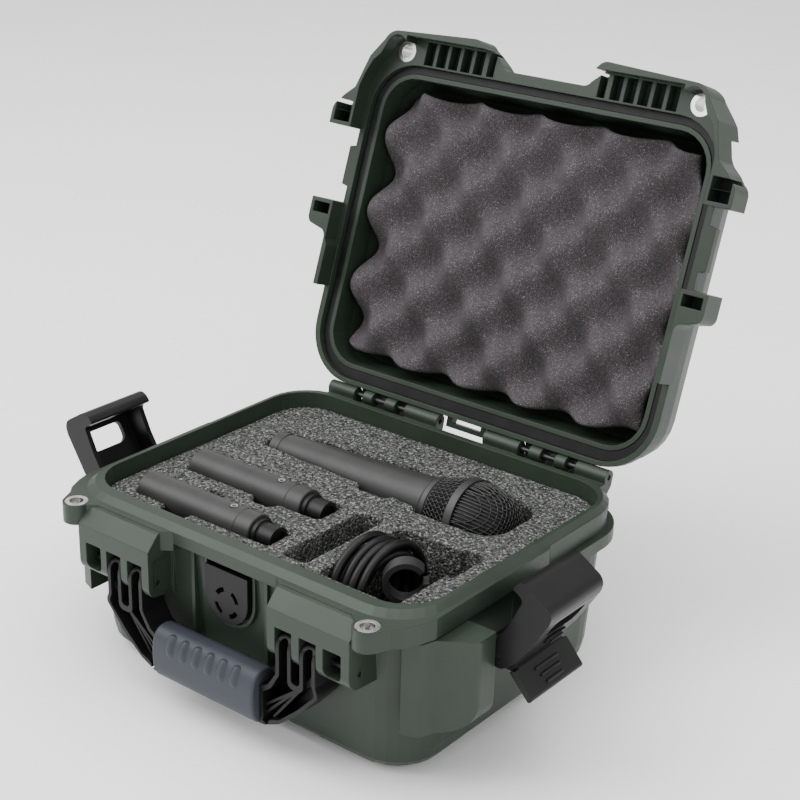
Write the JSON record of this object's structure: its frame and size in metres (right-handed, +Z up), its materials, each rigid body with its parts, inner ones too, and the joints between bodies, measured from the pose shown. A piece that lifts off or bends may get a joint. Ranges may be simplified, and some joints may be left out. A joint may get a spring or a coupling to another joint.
{
  "type": "microphone case",
  "caption": "Hard plastic carrying case with hinged lid, side latches, folding handle and cut foam that holds a microphone, two cylindrical modules, a coiled cable and a clip.",
  "frame": {"origin": "middle of the flat underside, below the centre of the base's opening", "axes": "+Z up, +X to the right seen from the handle's side, +Y to the hinge"},
  "size_m": [0.357, 0.3423, 0.3314],
  "materials": {
    "green_shell": "satin, fine texture",
    "black_plastic": "satin",
    "slate_plastic": "satin",
    "grip": "soft matte",
    "seal": "matte",
    "steel": "polished stainless",
    "foam_grey": "speckled foam",
    "foam_dark": "egg-crate foam",
    "instrument": "satin",
    "mesh": "wire mesh",
    "cable": "matte",
    "clip": "satin"
  },
  "bodies": {
    "base": {"base_shell": "green_shell", "base_eyelets": "steel", "hinge_pins": "steel", "handle_pins": "steel", "valve_cover": "black_plastic", "valve_disc": "seal", "latch_pins": "steel", "base_foam": "foam_grey", "base_pad": "foam_grey"},
    "lid": {"lid_shell": "green_shell", "lid_gasket": "seal", "lid_eyelets": "steel", "lid_foam": "foam_dark"},
    "handle": {"handle_frame": "black_plastic", "handle_grip": "grip"},
    "lever_r": {"lever_right": "black_plastic", "claw_pin_right": "steel"},
    "lever_l": {"lever_left": "black_plastic", "claw_pin_left": "steel"},
    "claw_r": {"claw_right": "black_plastic"},
    "claw_l": {"claw_left": "black_plastic"},
    "lock_r": {"lock_right": "slate_plastic"},
    "lock_l": {"lock_left": "slate_plastic"},
    "microphone": {"mic_body": "instrument", "mic_grille": "mesh", "mic_band": "mesh"},
    "module_a": {"module_a_body": "instrument", "module_a_tail": "instrument"},
    "module_b": {"module_b_body": "instrument", "module_b_tail": "instrument"},
    "button_a": {"module_a_button": "instrument"},
    "button_b": {"module_b_button": "instrument"},
    "cable": {"cable_coil": "cable", "cable_plugs": "black_plastic"},
    "clip": {"mic_clip": "clip"}
  },
  "joints": [
    {"name": "lid_hinge", "type": "hinge", "parent": "base", "child": "lid", "pos_m": [0, 0.1085, 0.1053], "axis": [-1, 0, 0], "range_deg": [-109.3, 0]},
    {"name": "handle_swing", "type": "hinge", "parent": "base", "child": "handle", "pos_m": [0, -0.1095, 0.071], "axis": [-1, 0, 0], "range_deg": [0, 95]},
    {"name": "lever_right_turn", "type": "hinge", "parent": "base", "child": "lever_r", "pos_m": [0.136, -0.0335, 0.074], "axis": [0, -1, 0], "range_deg": [-32, 10]},
    {"name": "lever_left_turn", "type": "hinge", "parent": "base", "child": "lever_l", "pos_m": [-0.136, -0.0335, 0.074], "axis": [0, 1, 0], "range_deg": [-32, 10]},
    {"name": "claw_right_turn", "type": "hinge", "parent": "lever_r", "child": "claw_r", "pos_m": [0.14787, -0.0335, 0.0767], "axis": [0, 1, 0], "range_deg": [-64, 20]},
    {"name": "claw_left_turn", "type": "hinge", "parent": "lever_l", "child": "claw_l", "pos_m": [-0.14787, -0.0335, 0.0767], "axis": [0, -1, 0], "range_deg": [-64, 20]},
    {"name": "lock_right_slide", "type": "slide", "parent": "claw_r", "child": "lock_r", "axis": [0.5299, 0, 0.848], "range_m": [-0.005, 0]},
    {"name": "lock_left_slide", "type": "slide", "parent": "claw_l", "child": "lock_l", "axis": [-0.5299, 0, 0.848], "range_m": [-0.005, 0]},
    {"name": "microphone_lift", "type": "slide", "parent": "base", "child": "microphone", "axis": [0, 0, 1], "range_m": [0, 0.15]},
    {"name": "module_a_lift", "type": "slide", "parent": "base", "child": "module_a", "axis": [0, 0, 1], "range_m": [0, 0.15]},
    {"name": "module_b_lift", "type": "slide", "parent": "base", "child": "module_b", "axis": [0, 0, 1], "range_m": [0, 0.15]},
    {"name": "cable_lift", "type": "slide", "parent": "base", "child": "cable", "axis": [0, 0, 1], "range_m": [0, 0.15]},
    {"name": "clip_lift", "type": "slide", "parent": "base", "child": "clip", "axis": [0, 0, 1], "range_m": [0, 0.15]},
    {"name": "button_a_press", "type": "slide", "parent": "module_a", "child": "button_a", "axis": [0, 0, 1], "range_m": [-0.0007, 0], "stiffness_N_per_m": 200},
    {"name": "button_b_press", "type": "slide", "parent": "module_b", "child": "button_b", "axis": [0, 0, 1], "range_m": [-0.0007, 0], "stiffness_N_per_m": 200}
  ],
  "couplings": [
    {"joint": "claw_right_turn", "follows": "lever_right_turn", "ratio": 2},
    {"joint": "claw_left_turn", "follows": "lever_left_turn", "ratio": 2}
  ]
}
